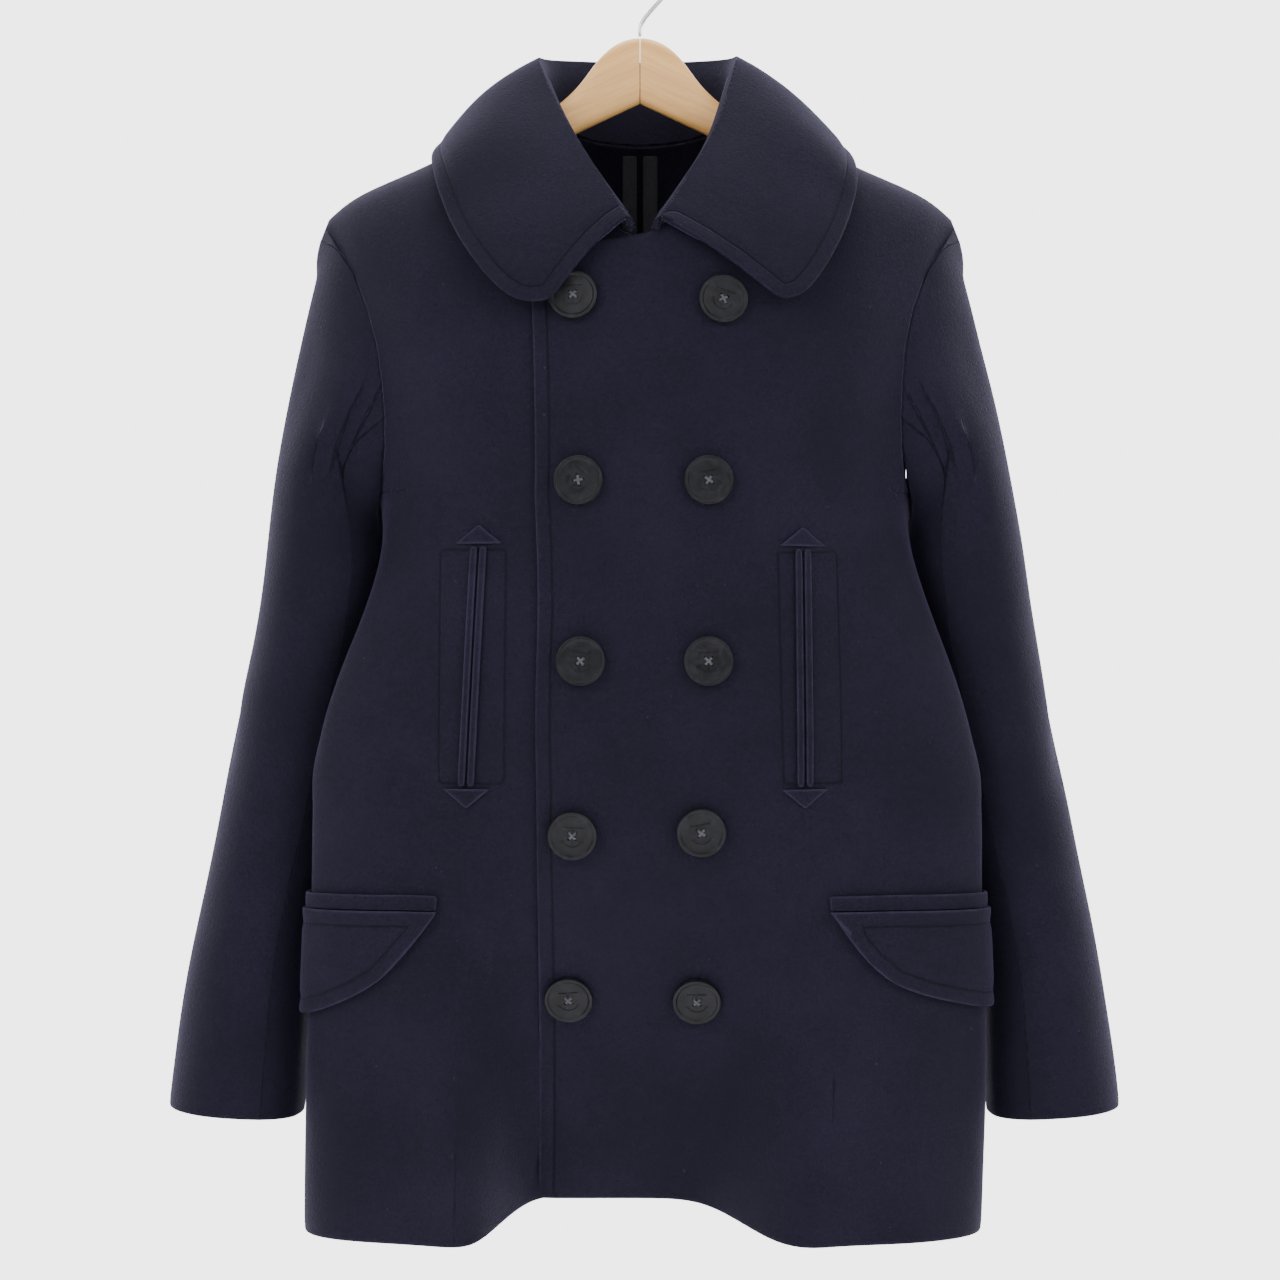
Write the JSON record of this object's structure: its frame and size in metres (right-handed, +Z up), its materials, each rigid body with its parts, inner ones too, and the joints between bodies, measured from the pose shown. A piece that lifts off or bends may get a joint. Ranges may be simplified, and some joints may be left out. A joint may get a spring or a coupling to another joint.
{
  "type": "pea coat on a hanger",
  "caption": "Double-breasted dark navy wool pea coat with a wide collar, slash and flap pockets and black buttons, hanging on a wooden hanger with a wire hook",
  "frame": {"origin": "inner top of the hook, where it hangs on a rail", "axes": "+Z up along the coat's length, -Y out of the coat's front, +X to the wearer's left"},
  "size_m": [0.7024, 0.2355, 0.9364],
  "materials": {
    "melton": "matte",
    "binding": "matte",
    "horn": "satin",
    "beech": "satin",
    "steel": "satin"
  },
  "bodies": {
    "root": {"front_left": "melton", "front_right": "melton", "back_left": "melton", "back_right": "melton", "seam_binding_left": "binding", "seam_binding_right": "binding", "sleeve_top_left": "melton", "sleeve_top_right": "melton", "sleeve_under_left": "melton", "sleeve_under_right": "melton", "collar": "melton", "slash_welt_right_inner": "melton", "slash_welt_right_outer": "melton", "slash_welt_left_inner": "melton", "slash_welt_left_outer": "melton", "slash_arrow_right_top": "melton", "slash_arrow_right_bottom": "melton", "slash_arrow_left_top": "melton", "slash_arrow_left_bottom": "melton", "pocket_flap_right": "melton", "pocket_flap_left": "melton", "pocket_welt_right": "melton", "pocket_welt_left": "melton", "button_1_left": "horn", "button_1_right": "horn", "button_2_left": "horn", "button_2_right": "horn", "button_3_left": "horn", "button_3_right": "horn", "button_4_left": "horn", "button_4_right": "horn", "button_5_left": "horn", "button_5_right": "horn", "hanger_left": "beech", "hanger_right": "beech", "hook": "steel"}
  },
  "joints": []
}
